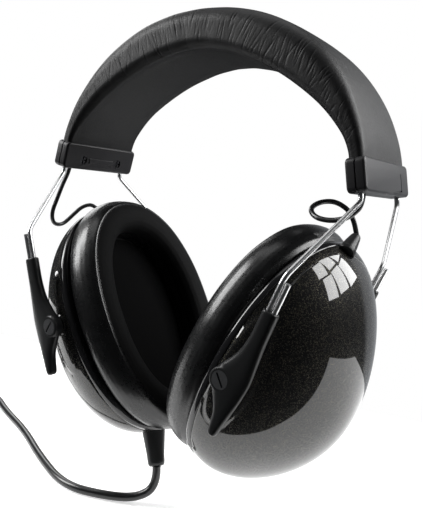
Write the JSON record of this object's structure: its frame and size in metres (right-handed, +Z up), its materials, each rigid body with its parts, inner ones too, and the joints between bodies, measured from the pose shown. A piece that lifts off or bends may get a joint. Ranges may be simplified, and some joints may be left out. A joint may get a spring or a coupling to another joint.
{
  "type": "wired over-ear headphones",
  "caption": "Closed-back over-ear headphones with a padded band on spring wires, sliding arms, tilting oval cups and a coiled cord.",
  "frame": {"origin": "the head seat: the middle of the underside of the padded band's crown", "axes": "+Z up, +X along the line between the ears toward the cup without the cord, -Y is the front, where the leads leave the blocks"},
  "size_m": [0.3153, 0.1052, 0.2347],
  "materials": {
    "band_leatherette": "soft semi-gloss",
    "band_foam": "matte",
    "polished_wire": "polished",
    "lead_jacket": "semi-gloss",
    "block_plastic": "semi-gloss",
    "black_screw": "satin",
    "arm_plastic": "satin",
    "shell_lacquer": "high gloss, fine metallic flake",
    "ring_plastic": "gloss",
    "baffle_plastic": "matte",
    "inner_screw": "satin",
    "driver_plastic": "satin",
    "magnet_steel": "satin",
    "diaphragm_film": "clear amber film",
    "acoustic_cloth": "matte",
    "damping_fleece": "matte",
    "cushion_leatherette": "soft semi-gloss",
    "pivot_plastic": "satin",
    "relief_rubber": "satin",
    "board_laminate": "satin",
    "cord_jacket": "gloss vinyl",
    "tie_strap": "matte",
    "plug_plastic": "satin",
    "plug_metal": "polished"
  },
  "bodies": {
    "headband": {"headband_cover": "band_leatherette", "headband_foam": "band_foam", "front_spring_wire": "polished_wire", "rear_spring_wire": "polished_wire", "crossover_lead": "lead_jacket", "block_screws": "black_screw", "right_block_outer_half": "block_plastic", "right_block_inner_half": "block_plastic", "left_block_outer_half": "block_plastic", "left_block_inner_half": "block_plastic", "right_lead_upper": "lead_jacket", "left_lead_upper": "lead_jacket", "main_cable": "cord_jacket", "cable_coil": "cord_jacket", "cable_tie": "tie_strap", "cable_tail": "cord_jacket", "plug_handle": "plug_plastic", "plug_contact": "plug_metal"},
    "right_arms": {"right_front_arm": "arm_plastic", "right_rear_arm": "arm_plastic"},
    "right_cup": {"right_shell": "shell_lacquer", "right_flange_ring": "ring_plastic", "right_baffle": "baffle_plastic", "right_baffle_screws": "inner_screw", "right_driver_frame": "driver_plastic", "right_driver_magnet": "magnet_steel", "right_diaphragm": "diaphragm_film", "right_acoustic_screen": "acoustic_cloth", "right_damping_foam": "damping_fleece", "right_ear_cushion": "cushion_leatherette", "right_pivot_pins": "pivot_plastic", "right_lead_relief": "relief_rubber", "right_lead_lower": "lead_jacket"},
    "left_arms": {"left_front_arm": "arm_plastic", "left_rear_arm": "arm_plastic"},
    "left_cup": {"left_shell": "shell_lacquer", "left_flange_ring": "ring_plastic", "left_baffle": "baffle_plastic", "left_baffle_screws": "inner_screw", "left_driver_frame": "driver_plastic", "left_driver_magnet": "magnet_steel", "left_diaphragm": "diaphragm_film", "left_acoustic_screen": "acoustic_cloth", "left_damping_foam": "damping_fleece", "left_ear_cushion": "cushion_leatherette", "left_pivot_pins": "pivot_plastic", "left_lead_relief": "relief_rubber", "left_lead_lower": "lead_jacket", "left_cord_relief": "relief_rubber", "left_junction_board": "board_laminate", "cable_exit": "cord_jacket"}
  },
  "joints": [
    {"name": "right_slide", "type": "slide", "parent": "headband", "child": "right_arms", "axis": [0.3502, 0, 0.9367], "range_m": [0, 0.01], "deforming": ["right_lead_upper"]},
    {"name": "right_tilt", "type": "hinge", "parent": "right_arms", "child": "right_cup", "pos_m": [0.0472, 0, -0.1291], "axis": [0, 1, 0], "range_deg": [-32.5, 0], "deforming": ["right_lead_lower"]},
    {"name": "left_slide", "type": "slide", "parent": "headband", "child": "left_arms", "axis": [-0.3502, 0, 0.9367], "range_m": [0, 0.01], "deforming": ["left_lead_upper", "main_cable"]},
    {"name": "left_tilt", "type": "hinge", "parent": "left_arms", "child": "left_cup", "pos_m": [-0.0472, 0, -0.1291], "axis": [0, -1, 0], "range_deg": [-36, 0], "deforming": ["left_lead_lower", "cable_exit"]}
  ]
}
